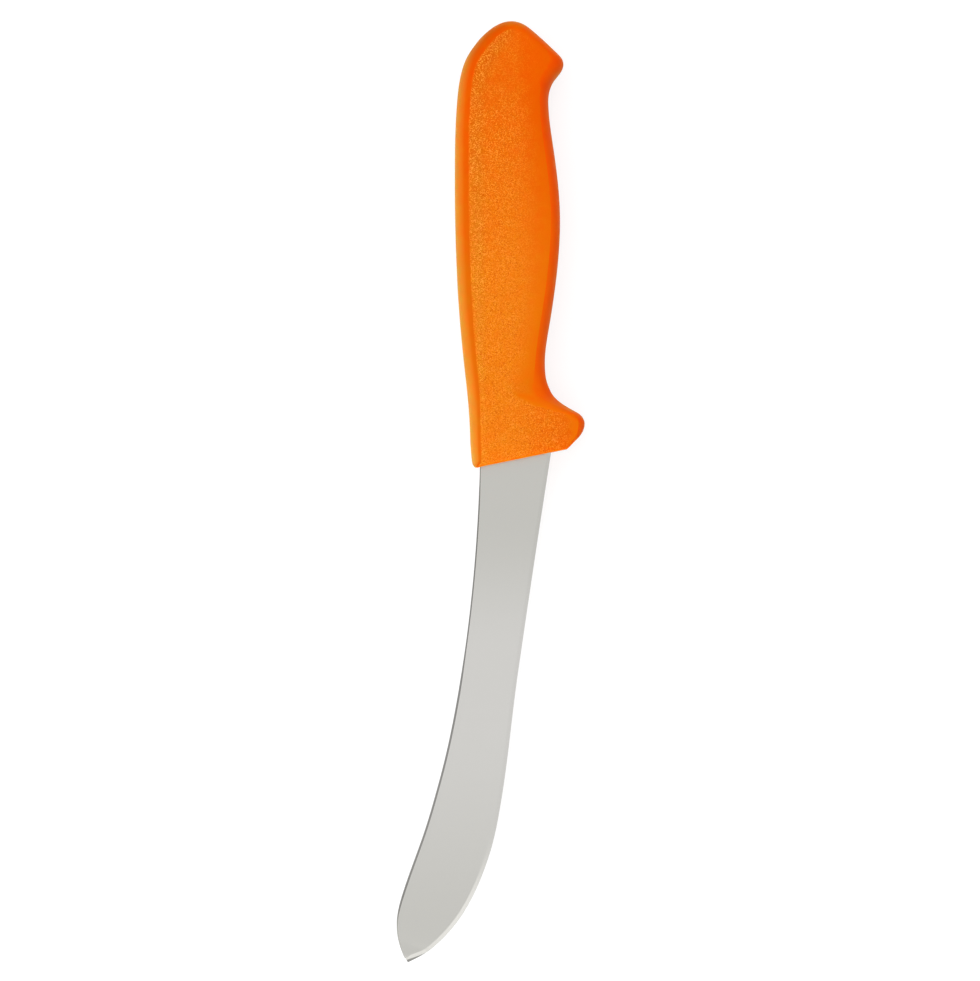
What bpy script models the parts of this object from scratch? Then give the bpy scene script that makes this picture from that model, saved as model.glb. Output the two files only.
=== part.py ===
"""Butcher knife: one ground steel blank, blade and hidden tang in one, in a moulded handle.

The knife lies flat on its side. X runs across it, from the back of the blade to the cutting
edge, Y runs along it, from the tip to the butt, and Z is the thickness, up from the surface
that the handle rests on. Outlines are drawn from a datum where the back of the blade leaves
the handle, half way up the thickness. The empty knife_origin then carries both pieces to
their place, so that the origin is under the middle of the whole knife.
"""

import math
from collections import namedtuple

import bmesh
import bpy
from mathutils import Vector
from mathutils.geometry import interpolate_bezier

# Driving dimensions, in metres. A depth is measured along Y from the handle's front end and a
# setback along Y from the butt, or from the tip; a reach is measured along X from the datum
# towards the edge, and a back or a sweep the other way.

# The blade in plan: where its back runs, and how wide it is there, square to the back
BLADE_LENGTH = 0.1473
HEEL_WIDTH = 0.02115
WAIST_DEPTH = 0.0586
WAIST_SWEEP = 0.0051
WAIST_WIDTH = 0.0166
BEND_SETBACK = 0.0535
BEND_SWEEP = 0.01225
BEND_WIDTH = 0.0193
BELLY_SETBACK = 0.0387
BELLY_SWEEP = 0.0166
BELLY_WIDTH = 0.0205
POINT_SETBACK = 0.0211
POINT_SWEEP = 0.0228
POINT_WIDTH = 0.0191
HOOK_SETBACK = 0.0109
HOOK_SWEEP = 0.02478
TIP_SWEEP = 0.0217
TIP_WIDTH = 0.0005
LIP_REACH = 0.0073
LIP_SETBACK = 0.0041

# The blade in thickness
BACK_THICKNESS = 0.0022
TIP_THICKNESS = 0.0014
SHOULDER_THICKNESS = 0.0005
EDGE_THICKNESS = 0.0001
BEVEL_WIDTH = 0.0011
BACK_CHAMFER = 0.0003

# The part of the blank that the handle hides
PLUNGE_DEPTH = 0.0015
HEEL_DEPTH = 0.0060
SHOULDER_RUN = 0.0040
TANG_BACK_WALL = 0.0036
TANG_FRONT_WALL = 0.0056
TANG_END_WALL = 0.0310
TANG_END_RADIUS = 0.0030
TANG_HOLE_DIAMETER = 0.0065
TANG_HOLE_COUNT = 3
FIRST_HOLE_DEPTH = 0.0270
LAST_HOLE_MARGIN = 0.0210

# The handle as a whole
HANDLE_LENGTH = 0.1323
HANDLE_THICKNESS = 0.0200
PARTING_LAND = 0.0005
CLEARANCE = 0.0003

# The front face, and the guard that overhangs it
FRONT_RAKE = 11.6
FRONT_BACK_WALL = 0.00295
FRONT_GUARD_WALL = 0.00465
FRONT_CORNER_BACK = 0.00085
GUARD_OVERHANG = 0.00525
GUARD_DEPTH = 0.0126
GUARD_CHIN_INSET = 0.00255
GUARD_CHIN_RISE = 0.00465
GUARD_BROW_INSET = 0.00215
GUARD_BROW_RISE = 0.00355

# The back of the handle
FOOT_INSET = 0.0005
FOOT_DEPTH = 0.0019
GRIP_START_DEPTH = 0.0090
THUMB_BACK = 0.00425
THUMB_DEPTH = 0.0260
PALM_BACK = 0.00675
PALM_DEPTH = 0.0545
BOW_BACK = 0.0075
BOW_DEPTH = 0.0840
REAR_BACK = 0.00665
REAR_SETBACK = 0.0218

# The butt
SHOULDER_BACK = 0.00475
SHOULDER_SETBACK = 0.01255
CLIMB_BACK = 0.0008
CLIMB_SETBACK = 0.0061
BROW_REACH = 0.0034
BROW_SETBACK = 0.00215
CROWN_REACH = 0.0093
FACET_RUN = 0.0053
FACET_DROP = 0.0020
BEAK_REACH = 0.0248
BEAK_SETBACK = 0.01255
BEAK_FACET_INSET = 0.0023
BEAK_FACET_RISE = 0.00345
THROAT_INSET = 0.0025
THROAT_DROP = 0.00455

# The side of the handle that the fingers close on
REAR_NOTCH_REACH = 0.0203
REAR_NOTCH_SETBACK = 0.0240
RISE_REACH = 0.00135
RISE_RUN = 0.0124
SWELL_REACH = 0.0238
SWELL_DEPTH = 0.0730
FALL_REACH = 0.00175
FALL_RUN = 0.0145
NOTCH_REACH = 0.0193
NOTCH_DEPTH = 0.0300
HOLLOW_REACH = 0.00085
HOLLOW_RUN = 0.0055
SLOPE_REACH = 0.0030
SLOPE_RUN = 0.0094

# How far in plan the handle's wall leans in, from its rim to its flat side
FACE_LEAN = 0.0008
FOOT_LEAN = 0.0026
GRIP_START_LEAN = 0.0030
THUMB_LEAN = 0.0039
PALM_LEAN = 0.0050
BOW_LEAN = 0.0055
SHOULDER_LEAN = 0.0049
BROW_LEAN = 0.0045
CROWN_LEAN = 0.0042
FACET_LEAN = 0.0037
BEAK_LEAN = 0.0066
THROAT_LEAN = 0.0054
REAR_NOTCH_LEAN = 0.0060
SWELL_LEAN = 0.0066
NOTCH_LEAN = 0.0069
HOLLOW_LEAN = 0.0100
SLOPE_LEAN = 0.0076
GUARD_BROW_LEAN = 0.0019
GUARD_TIP_LEAN = 0.0045
GUARD_CHIN_LEAN = 0.0020

# How far along its line the flat side's corner is from the rim's, where they part
FOOT_SLIDE = 0.0005
FACET_SLIDE = 0.0033
THROAT_SLIDE = 0.0035
NOTCH_SLIDE = 0.0010
HOLLOW_SLIDE = 0.0035
SLOPE_SLIDE = 0.0079
GUARD_BROW_SLIDE = 0.0032
FLAT_START_REACH = 0.0007
FLAT_CORNER_INSET = 0.00115

# How high the wall's rounding is where it is not the whole height
GUARD_TIP_ROUNDING = 0.0076
GUARD_CHIN_ROUNDING = 0.0038

# How finely the surfaces are divided
CURVE_STEP = 0.0036
TURN_STEP = 8.0
WALL_RINGS = 8
WALL_FULLNESS = 2.2
BLADE_STATIONS = 72
HOLE_SIDES = 32
MERGE_DISTANCE = 0.00001

# A knot of an outline: a point, and the direction in which the line passes it, in degrees
# from +X. The turn is a corner: the line leaves in the heading plus the turn.
Knot = namedtuple("Knot", "x y heading turn", defaults=(0.0,))

# A station of the handle's wall: its knot on the rim, its knot on the flat side, how high
# the rounding is, and the angle that it has turned through where it meets the flat side.
Station = namedtuple("Station", "rim flat height crest")


def direction(degrees):
    return Vector((math.cos(math.radians(degrees)), math.sin(math.radians(degrees))))


def ease(share):
    """0 to 1 with no slope at either end."""
    return share * share * (3 - 2 * share)


def steps_between(start, end):
    """How many steps a stretch between two knots needs for its length and its turn."""
    length = math.dist((start.x, start.y), (end.x, end.y))
    turn = abs((end.heading - start.heading - start.turn + 180) % 360 - 180)
    return max(1, math.ceil(length / CURVE_STEP), math.ceil(turn / TURN_STEP))


def stretch(start, end, steps):
    """Points of the curve from one knot up to the next, without the last; it is an arc
    wherever the two knots lie on one."""
    leave = start.heading + start.turn
    turn = abs((end.heading - leave + 180) % 360 - 180)
    reach = math.dist((start.x, start.y), (end.x, end.y)) / (3 * math.cos(math.radians(turn / 4)) ** 2)
    first = Vector((start.x, start.y))
    last = Vector((end.x, end.y))
    out = first + direction(leave) * reach
    back = last - direction(end.heading) * reach
    return interpolate_bezier(first, out, back, last, steps + 1)[:-1]


def spaced(knots, count):
    """The given number of points at equal distances along a curve through the knots."""
    fine = []
    for start, end in zip(knots, knots[1:]):
        fine += stretch(start, end, 4 * steps_between(start, end))
    fine.append(Vector((knots[-1].x, knots[-1].y)))
    along = [0.0]
    for first, second in zip(fine, fine[1:]):
        along.append(along[-1] + (second - first).length)
    points = []
    piece = 0
    for index in range(count):
        target = along[-1] * index / (count - 1)
        while piece < len(fine) - 2 and along[piece + 1] < target:
            piece += 1
        share = (target - along[piece]) / (along[piece + 1] - along[piece])
        points.append(fine[piece].lerp(fine[piece + 1], share))
    return points


def front_line(reach, behind=0.0):
    """The depth of the handle's raked front face at a reach, or of a line behind it."""
    rake = math.radians(FRONT_RAKE)
    return reach * math.tan(rake) + behind / math.cos(rake)


def inset(knot, width, slide=0.0, heading=None):
    """A knot moved into the handle, square to its line, and then slid along its line."""
    moved = Vector((knot.x, knot.y)) + direction(knot.heading - 90) * width
    moved += direction(knot.heading) * slide
    return Knot(moved.x, moved.y, knot.heading if heading is None else heading)


def tang_sides():
    """The reach of the tang's back and of its front, and the depth of its end."""
    return (TANG_BACK_WALL - FRONT_BACK_WALL, NOTCH_REACH - TANG_FRONT_WALL,
            HANDLE_LENGTH - TANG_END_WALL)


# The handle's wall, station by station, clockwise as seen from above


def full_height():
    return HANDLE_THICKNESS / 2 - PARTING_LAND


def back_stations():
    """The back of the handle, from the front corner to the start of the butt."""
    full = full_height()
    corner = Knot(-FRONT_CORNER_BACK, front_line(-FRONT_CORNER_BACK), 180 + FRONT_RAKE)
    flat_corner = Knot(FLAT_START_REACH, front_line(FLAT_START_REACH, FACE_LEAN), 180 + FRONT_RAKE)
    foot = Knot(FOOT_INSET - FRONT_BACK_WALL, FOOT_DEPTH, 96.0)
    grip_start = Knot(-FRONT_BACK_WALL, GRIP_START_DEPTH, 91.5)
    thumb = Knot(-THUMB_BACK, THUMB_DEPTH, 96.6)
    palm = Knot(-PALM_BACK, PALM_DEPTH, 92.9)
    bow = Knot(-BOW_BACK, BOW_DEPTH, 90.0)
    rear = Knot(-REAR_BACK, HANDLE_LENGTH - REAR_SETBACK, 84.5)
    return [
        Station(corner, flat_corner, FACE_LEAN, 90),
        Station(foot, inset(foot, FOOT_LEAN, -FOOT_SLIDE, 91.0), full, 72),
        Station(grip_start, inset(grip_start, GRIP_START_LEAN), full, 72),
        Station(thumb, inset(thumb, THUMB_LEAN), full, 76),
        Station(palm, inset(palm, PALM_LEAN), full, 86),
        Station(bow, inset(bow, BOW_LEAN), full, 90),
        Station(rear, inset(rear, PALM_LEAN), full, 90),
    ]


def butt_stations():
    """The butt: over its crown, down the slanted facet and round the beak."""
    full = full_height()
    end = HANDLE_LENGTH
    beak_depth = end - BEAK_SETBACK
    shoulder = Knot(-SHOULDER_BACK, end - SHOULDER_SETBACK, 70.0)
    climb = Knot(-CLIMB_BACK, end - CLIMB_SETBACK, 52.0)
    brow = Knot(BROW_REACH, end - BROW_SETBACK, 36.0)
    crown = Knot(CROWN_REACH, end, 0.0)
    facet_top = Knot(CROWN_REACH + FACET_RUN, end - FACET_DROP, -38.5)
    facet_end = Knot(BEAK_REACH - BEAK_FACET_INSET, beak_depth + BEAK_FACET_RISE, -43.5)
    beak = Knot(BEAK_REACH, beak_depth, -88.0)
    throat = Knot(BEAK_REACH - THROAT_INSET, beak_depth - THROAT_DROP, -127.0)
    return [
        Station(shoulder, inset(shoulder, SHOULDER_LEAN), full, 90),
        Station(climb, inset(climb, SHOULDER_LEAN), full, 90),
        Station(brow, inset(brow, BROW_LEAN), full, 90),
        Station(crown, inset(crown, CROWN_LEAN), full, 90),
        Station(facet_top, inset(facet_top, FACET_LEAN), full, 88),
        Station(facet_end, inset(facet_end, FACET_LEAN, -FACET_SLIDE, -52.0), full, 88),
        Station(beak, inset(beak, BEAK_LEAN, 0.0, -98.0), full, 90),
        Station(throat, inset(throat, THROAT_LEAN, THROAT_SLIDE, -112.0), full, 90),
    ]


def belly_stations():
    """The side that the fingers close on, from the rear notch to the finger notch."""
    full = full_height()
    notch_depth = HANDLE_LENGTH - REAR_NOTCH_SETBACK
    rear_notch = Knot(REAR_NOTCH_REACH, notch_depth, -89.0)
    rise = Knot(REAR_NOTCH_REACH + RISE_REACH, notch_depth - RISE_RUN, -81.5)
    swell = Knot(SWELL_REACH, SWELL_DEPTH, -90.0)
    fall = Knot(NOTCH_REACH + FALL_REACH, NOTCH_DEPTH + FALL_RUN, -99.0)
    notch = Knot(NOTCH_REACH, NOTCH_DEPTH, -88.5)
    return [
        Station(rear_notch, inset(rear_notch, REAR_NOTCH_LEAN), full, 90),
        Station(rise, inset(rise, SWELL_LEAN), full, 90),
        Station(swell, inset(swell, SWELL_LEAN), full, 90),
        Station(fall, inset(fall, SWELL_LEAN), full, 90),
        Station(notch, inset(notch, NOTCH_LEAN, -NOTCH_SLIDE, -103.0), full, 88),
    ]


def guard_stations():
    """The finger guard: its hollow, its ridge, its rounded tip and the corner in front."""
    full = full_height()
    corner_reach = HEEL_WIDTH + FRONT_GUARD_WALL
    flat_reach = corner_reach - FLAT_CORNER_INSET
    tip_reach = corner_reach + GUARD_OVERHANG
    corner_turn = FRONT_RAKE - 41.5
    hollow = Knot(NOTCH_REACH + HOLLOW_REACH, NOTCH_DEPTH - HOLLOW_RUN, -69.0)
    slope = Knot(NOTCH_REACH + SLOPE_REACH, NOTCH_DEPTH - SLOPE_RUN, -46.0)
    brow = Knot(tip_reach - GUARD_BROW_INSET, GUARD_DEPTH + GUARD_BROW_RISE, -29.0)
    tip = Knot(tip_reach, GUARD_DEPTH, -93.0)
    chin = Knot(tip_reach - GUARD_CHIN_INSET, GUARD_DEPTH - GUARD_CHIN_RISE, -136.0)
    corner = Knot(corner_reach, front_line(corner_reach), -138.5, corner_turn)
    flat_corner = Knot(flat_reach, front_line(flat_reach, FACE_LEAN), -138.5, corner_turn)
    return [
        Station(hollow, inset(hollow, HOLLOW_LEAN, -HOLLOW_SLIDE, -112.0), full, 80),
        Station(slope, inset(slope, SLOPE_LEAN, -SLOPE_SLIDE, -24.0), full, 70),
        Station(brow, inset(brow, GUARD_BROW_LEAN, -GUARD_BROW_SLIDE, -20.0), full, 72),
        Station(tip, inset(tip, GUARD_TIP_LEAN, 0.0, -96.0), GUARD_TIP_ROUNDING, 88),
        Station(chin, inset(chin, GUARD_CHIN_LEAN), GUARD_CHIN_ROUNDING, 88),
        Station(corner, flat_corner, FACE_LEAN, 90),
    ]


def handle_stations():
    return back_stations() + butt_stations() + belly_stations() + guard_stations()


def wall_column(rim, flat, height, crest):
    """The half wall over one point of the rim: a straight land at the parting plane, then a
    rounding that ends at the flat side."""
    power = 2 / WALL_FULLNESS
    top = HANDLE_THICKNESS / 2
    span = 1 - math.cos(crest) ** power
    rise = math.sin(crest) ** power
    column = [(rim.x, rim.y, 0.0)]
    for ring in range(WALL_RINGS + 1):
        angle = crest * ring / WALL_RINGS
        point = rim.lerp(flat, (1 - math.cos(angle) ** power) / span)
        lift = math.sin(angle) ** power / rise
        column.append((point.x, point.y, top - height * (1 - lift)))
    return column


def wall_columns():
    """Every column of the handle's half wall, clockwise."""
    stations = handle_stations()
    columns = []
    for start, end in zip(stations, stations[1:] + stations[:1]):
        steps = max(steps_between(start.rim, end.rim), steps_between(start.flat, end.flat))
        rims = stretch(start.rim, end.rim, steps)
        flats = stretch(start.flat, end.flat, steps)
        for step in range(steps):
            share = ease(step / steps)
            height = start.height + (end.height - start.height) * share
            crest = math.radians(start.crest + (end.crest - start.crest) * share)
            columns.append(wall_column(rims[step], flats[step], height, crest))
    return columns


# The blade and its tang


def blade_knots():
    """The back of the blade and its edge, from the handle to the tip."""
    tip = -BLADE_LENGTH
    back = [
        Knot(0.0, 0.0, -91.8),
        Knot(-WAIST_SWEEP, -WAIST_DEPTH, -98.7),
        Knot(-BEND_SWEEP, tip + BEND_SETBACK, -105.4),
        Knot(-BELLY_SWEEP, tip + BELLY_SETBACK, -108.6),
        Knot(-POINT_SWEEP, tip + POINT_SETBACK, -107.8),
        Knot(-HOOK_SWEEP, tip + HOOK_SETBACK, -89.0),
        Knot(-TIP_SWEEP, tip, -64.0),
    ]
    edge = [Knot(HEEL_WIDTH, front_line(HEEL_WIDTH), -98.9)]
    widths = (WAIST_WIDTH, BEND_WIDTH, BELLY_WIDTH, POINT_WIDTH)
    headings = (-98.2, -99.4, -107.6, -121.5)
    for knot, width, heading in zip(back[1:], widths, headings):
        point = Vector((knot.x, knot.y)) + direction(knot.heading + 90) * width
        edge.append(Knot(point.x, point.y, heading))
    edge.append(Knot(LIP_REACH - TIP_SWEEP, tip + LIP_SETBACK, -140.5))
    edge.append(Knot(TIP_WIDTH - TIP_SWEEP, tip, -154.0))
    return back, edge


def square_in(points, index, side):
    """The direction square to a line of points, towards the middle of the blade."""
    before = points[max(index - 1, 0)]
    after = points[min(index + 1, len(points) - 1)]
    along = (after - before).normalized()
    return Vector((-along.y, along.x)) * side


def section(back, edge, back_in, edge_in, thickness, ground, grow):
    """One half section of the blank, from its back to its edge. A ground section tapers to
    the shoulder of the cutting bevel; the other is the full blank with broken corners."""
    width = (edge - back).length
    chamfer = min(BACK_CHAMFER, 0.3 * width)
    half = thickness / 2 + grow
    corner = half - chamfer
    if ground:
        bevel = min(BEVEL_WIDTH, 0.4 * width)
        shoulder = SHOULDER_THICKNESS / 2 + grow
        lip = EDGE_THICKNESS / 2 + grow
    else:
        bevel = chamfer
        shoulder = half
        lip = corner
    rails = [
        (back - back_in * grow, 0.0),
        (back - back_in * grow, corner),
        (back + back_in * (chamfer - grow), half),
        (edge + edge_in * (bevel - grow), shoulder),
        (edge - edge_in * grow, lip),
        (edge - edge_in * grow, 0.0),
    ]
    return [(point.x, point.y, height) for point, height in rails]


def tang_sections(back_knot, edge_knot, grow):
    """The hidden part of the blank, from the tang's end to just behind the front face."""
    tang_back, tang_front, tang_end = tang_sides()
    right = Vector((1, 0))
    left = Vector((-1, 0))
    sections = []
    for degrees in (0, 30, 60, 90):
        turned = math.radians(degrees)
        depth = tang_end + grow - TANG_END_RADIUS * (1 - math.cos(turned))
        side = TANG_END_RADIUS * (1 - math.sin(turned))
        sections.append((Vector((tang_back + side, depth)), Vector((tang_front - side, depth)), False))
    heel_back = Vector((back_knot.x, back_knot.y)) - direction(back_knot.heading) * HEEL_DEPTH
    heel_edge = Vector((edge_knot.x, edge_knot.y)) - direction(edge_knot.heading) * HEEL_DEPTH
    start_back = Vector((tang_back, heel_back.y + SHOULDER_RUN))
    start_front = Vector((tang_front, heel_edge.y + SHOULDER_RUN))
    sections.append((start_back, start_front, False))
    sections.append((heel_back, heel_edge, False))
    plunge_back = Vector((back_knot.x, back_knot.y)) - direction(back_knot.heading) * PLUNGE_DEPTH
    plunge_edge = Vector((edge_knot.x, edge_knot.y)) - direction(edge_knot.heading) * PLUNGE_DEPTH
    sections.append((plunge_back, plunge_edge, True))
    return [section(back, edge, right, left, BACK_THICKNESS, ground, grow)
            for back, edge, ground in sections]


def blade_sections(grow=0.0, count=BLADE_STATIONS):
    """Half sections from the tang's end to the tip, or to the given number of stations."""
    back_knots, edge_knots = blade_knots()
    backs = spaced(back_knots, BLADE_STATIONS)
    edges = spaced(edge_knots, BLADE_STATIONS)
    sections = tang_sections(back_knots[0], edge_knots[0], grow)
    for index in range(count):
        share = index / (BLADE_STATIONS - 1)
        thickness = BACK_THICKNESS + (TIP_THICKNESS - BACK_THICKNESS) * share
        sections.append(section(backs[index], edges[index], square_in(backs, index, 1),
                                square_in(edges, index, -1), thickness, True, grow))
    return sections


# Making the objects


def clear_objects():
    for thing in list(bpy.data.objects):
        bpy.data.objects.remove(thing)


def new_collection(name):
    collection = bpy.data.collections.new(name)
    bpy.context.scene.collection.children.link(collection)
    return collection


def principled(name, colour, roughness, metallic):
    material = bpy.data.materials.new(name)
    material.use_nodes = True
    shader = material.node_tree.nodes["Principled BSDF"]
    shader.inputs["Base Color"].default_value = (*colour, 1.0)
    shader.inputs["Roughness"].default_value = roughness
    shader.inputs["Metallic"].default_value = metallic
    material.diffuse_color = (*colour, 1.0)
    return material


def object_from(mesh_builder, name, collection, parent):
    mesh = bpy.data.meshes.new(name)
    mesh_builder.to_mesh(mesh)
    mesh_builder.free()
    mesh.shade_smooth()
    mesh.set_sharp_from_angle(angle=math.radians(35))
    thing = bpy.data.objects.new(name, mesh)
    thing.parent = parent
    collection.objects.link(thing)
    return thing


def mirror_across_middle(thing):
    """The upper half, open at the middle plane, makes the whole piece."""
    mirror = thing.modifiers.new("both_sides", "MIRROR")
    mirror.use_axis = (False, False, True)
    mirror.use_clip = True
    mirror.merge_threshold = MERGE_DISTANCE


def cut(thing, cutter, name):
    boolean = thing.modifiers.new(name, "BOOLEAN")
    boolean.operation = "DIFFERENCE"
    boolean.solver = "EXACT"
    boolean.object = cutter


def hide_as_cutter(thing):
    thing.hide_render = True
    thing.display_type = "WIRE"


def make_handle(collection, parent):
    """The moulded handle: its rounded wall and its flat side, as the upper half."""
    builder = bmesh.new()
    columns = [[builder.verts.new(place) for place in column] for column in wall_columns()]
    for first, second in zip(columns, columns[1:] + columns[:1]):
        for lower in range(len(first) - 1):
            builder.faces.new((first[lower], first[lower + 1], second[lower + 1], second[lower]))
    builder.faces.new([column[-1] for column in reversed(columns)])
    handle = object_from(builder, "handle", collection, parent)
    mirror_across_middle(handle)
    handle.data.materials.append(principled("orange_moulded_plastic", (0.85, 0.17, 0.01), 0.42, 0.0))
    return handle


def make_blank(name, sections, collection, parent):
    """A closed strip of half sections, as the upper half of the blank."""
    builder = bmesh.new()
    rows = [[builder.verts.new(place) for place in half] for half in sections]
    for first, second in zip(rows, rows[1:]):
        for rail in range(len(first) - 1):
            builder.faces.new((first[rail], second[rail], second[rail + 1], first[rail + 1]))
    builder.faces.new(rows[0])
    builder.faces.new(reversed(rows[-1]))
    blank = object_from(builder, name, collection, parent)
    mirror_across_middle(blank)
    return blank


def make_post(name, reach, depth, diameter, height, collection, parent):
    """A round cutter that stands square to the blank."""
    builder = bmesh.new()
    bmesh.ops.create_cone(builder, cap_ends=True, segments=HOLE_SIDES, radius1=diameter / 2,
                          radius2=diameter / 2, depth=height)
    post = object_from(builder, name, collection, parent)
    post.location = (reach, depth, 0.0)
    hide_as_cutter(post)
    return post


def hole_depths():
    end = tang_sides()[2] - LAST_HOLE_MARGIN
    pitch = (end - FIRST_HOLE_DEPTH) / max(TANG_HOLE_COUNT - 1, 1)
    return [FIRST_HOLE_DEPTH + pitch * index for index in range(TANG_HOLE_COUNT)]


def join_blade_and_handle(blade, handle, cutters, parent):
    """The handle is hollowed round the blank, and pegs of its plastic fill the tang's holes."""
    slot = make_blank("slot_cutter", blade_sections(CLEARANCE, 3), cutters, parent)
    hide_as_cutter(slot)
    middle = sum(tang_sides()[:2]) / 2
    for number, depth in enumerate(hole_depths(), 1):
        hole = make_post(f"hole_cutter_{number}", middle, depth, TANG_HOLE_DIAMETER,
                         2 * BACK_THICKNESS, cutters, parent)
        cut(blade, hole, f"tang_hole_{number}")
        peg = make_post(f"peg_cutter_{number}", middle, depth, TANG_HOLE_DIAMETER - 2 * CLEARANCE,
                        3 * BACK_THICKNESS, cutters, parent)
        cut(slot, peg, f"peg_{number}")
    cut(handle, slot, "slot")


def stand_at_origin(parent, pieces):
    """Carry the datum so that the origin is under the middle of the knife's box."""
    bpy.context.view_layer.update()
    corners = []
    for piece in pieces:
        corners += [piece.matrix_world @ vertex.co for vertex in piece.data.vertices]
    across = (min(c.x for c in corners) + max(c.x for c in corners)) / 2
    along = (min(c.y for c in corners) + max(c.y for c in corners)) / 2
    parent.location = (-across, -along, HANDLE_THICKNESS / 2)


def build():
    clear_objects()
    parts = new_collection("butcher_knife")
    cutters = new_collection("butcher_knife_cutters")
    origin = bpy.data.objects.new("knife_origin", None)
    parts.objects.link(origin)
    blade = make_blank("blade", blade_sections(), parts, origin)
    blade.data.materials.append(principled("ground_steel", (0.60, 0.59, 0.57), 0.30, 1.0))
    handle = make_handle(parts, origin)
    join_blade_and_handle(blade, handle, cutters, origin)
    stand_at_origin(origin, (blade, handle))


build()
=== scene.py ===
"""Butcher knife: the finely divided handle and blade, their materials, the light and the camera.

Both pieces are drawn in plan from a datum where the back of the blade leaves the handle, half
way up the thickness: X towards the cutting edge, Y from the tip to the butt, Z up. In the names
of places, a reach is along X, a back or a sweep is against it, a depth is along Y from the datum,
and a setback is measured from the end of the handle or of the blade. Lengths are in metres and
angles in degrees.
"""

import math
from collections import namedtuple

import bmesh
import bpy
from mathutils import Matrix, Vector
from mathutils.geometry import interpolate_bezier


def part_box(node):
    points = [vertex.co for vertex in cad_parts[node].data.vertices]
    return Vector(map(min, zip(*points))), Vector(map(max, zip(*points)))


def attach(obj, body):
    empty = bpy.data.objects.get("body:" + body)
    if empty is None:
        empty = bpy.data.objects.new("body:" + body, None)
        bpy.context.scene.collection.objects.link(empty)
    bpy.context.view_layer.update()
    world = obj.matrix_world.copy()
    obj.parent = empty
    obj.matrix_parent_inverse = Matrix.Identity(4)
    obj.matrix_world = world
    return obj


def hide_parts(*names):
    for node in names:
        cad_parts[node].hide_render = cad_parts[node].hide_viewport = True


# The blade in plan: where its back runs, and how wide it is there, square to the back
BLADE_LENGTH = 0.1473
HEEL_WIDTH = 0.02115
WAIST_DEPTH = 0.0586
WAIST_SWEEP = 0.0051
WAIST_WIDTH = 0.0166
BEND_SETBACK = 0.0535
BEND_SWEEP = 0.01225
BEND_WIDTH = 0.0193
BELLY_SETBACK = 0.0387
BELLY_SWEEP = 0.0166
BELLY_WIDTH = 0.0205
POINT_SETBACK = 0.0211
POINT_SWEEP = 0.0228
POINT_WIDTH = 0.0191
HOOK_SETBACK = 0.0109
HOOK_SWEEP = 0.02478
TIP_SWEEP = 0.0217
TIP_WIDTH = 0.00025
TIP_RETURN = 0.0015
TIP_HEADING = -64.0
LIP_REACH = 0.0073
LIP_SETBACK = 0.0041

# The blade in thickness
BACK_THICKNESS = 0.0022
TIP_THICKNESS = 0.0018
EDGE_THICKNESS = 0.00004
BEVEL_WIDTH = 0.0011
BEVEL_SLOPE = 0.21
BEVEL_LARGEST_SHARE = 0.3
BACK_CHAMFER = 0.0003

# The eased corner of the blade's back, by the share of its length: a steep facet that is widest
# past the middle, and a slight one between it and the ground face
EASE_WIDTHS = ((0.0, 0.00024), (0.08, 0.00042), (0.35, 0.00044), (0.46, 0.00064), (0.86, 0.00064),
               (0.94, 0.00040), (1.0, 0.00015))
EASE_SLOPES = ((0.0, 0.74), (0.885, 0.74), (0.95, 0.45), (1.0, 0.45))
EASE_LARGEST_SHARE = 0.2
ROLL_SHARE = 0.30
ROLL_SLOPE = 0.21

# The steep lip under the cutting bevel, which opens towards the tip
LIP_START = 0.962
LIP_LEAST = 0.00002
LIP_WIDTH = 0.0009
LIP_SLOPE = 0.74

# The part of the blank that the handle hides
PLUNGE_DEPTH = 0.0015
HEEL_DEPTH = 0.0060
SHOULDER_RUN = 0.0040
TANG_BACK_WALL = 0.0036
TANG_FRONT_WALL = 0.0056
TANG_END_WALL = 0.0310
TANG_END_RADIUS = 0.0030
TANG_HOLE_DIAMETER = 0.0065
TANG_HOLE_COUNT = 3
FIRST_HOLE_DEPTH = 0.0270
LAST_HOLE_MARGIN = 0.0210
CUTTER_HEIGHT = 3 * BACK_THICKNESS
MOULDED_GAP = 0.00003

# The handle as a whole
HANDLE_LENGTH = 0.1323
HANDLE_THICKNESS = 0.0200
PARTING_LAND = 0.0005
GROOVE_DEPTH = 0.00006
GROOVE_WIDTH = 0.00030

# The front face, and the guard that overhangs it
FRONT_RAKE = 11.6
FRONT_BACK_WALL = 0.00295
FRONT_GUARD_WALL = 0.00465
FRONT_CORNER_BACK = 0.00085
GUARD_OVERHANG = 0.00525
GUARD_DEPTH = 0.0126
GUARD_CHIN_INSET = 0.00255
GUARD_CHIN_RISE = 0.00465
GUARD_BROW_INSET = 0.00215
GUARD_BROW_RISE = 0.00355
GUARD_CORNER_HEADING = -138.5

# The back of the handle
FOOT_INSET = 0.0005
FOOT_DEPTH = 0.0019
GRIP_START_DEPTH = 0.0090
THUMB_BACK = 0.00425
THUMB_DEPTH = 0.0260
PALM_BACK = 0.00675
PALM_DEPTH = 0.0545
BOW_BACK = 0.0075
BOW_DEPTH = 0.0840
REAR_BACK = 0.00665
REAR_SETBACK = 0.0218

# The butt
SHOULDER_BACK = 0.00475
SHOULDER_SETBACK = 0.01255
CLIMB_BACK = 0.0008
CLIMB_SETBACK = 0.0061
BROW_REACH = 0.0034
BROW_SETBACK = 0.00215
CROWN_REACH = 0.0093
FACET_RUN = 0.0053
FACET_DROP = 0.0020
BEAK_REACH = 0.0248
BEAK_SETBACK = 0.01255
BEAK_FACET_INSET = 0.0023
BEAK_FACET_RISE = 0.00345
THROAT_INSET = 0.0025
THROAT_DROP = 0.00455

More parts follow.
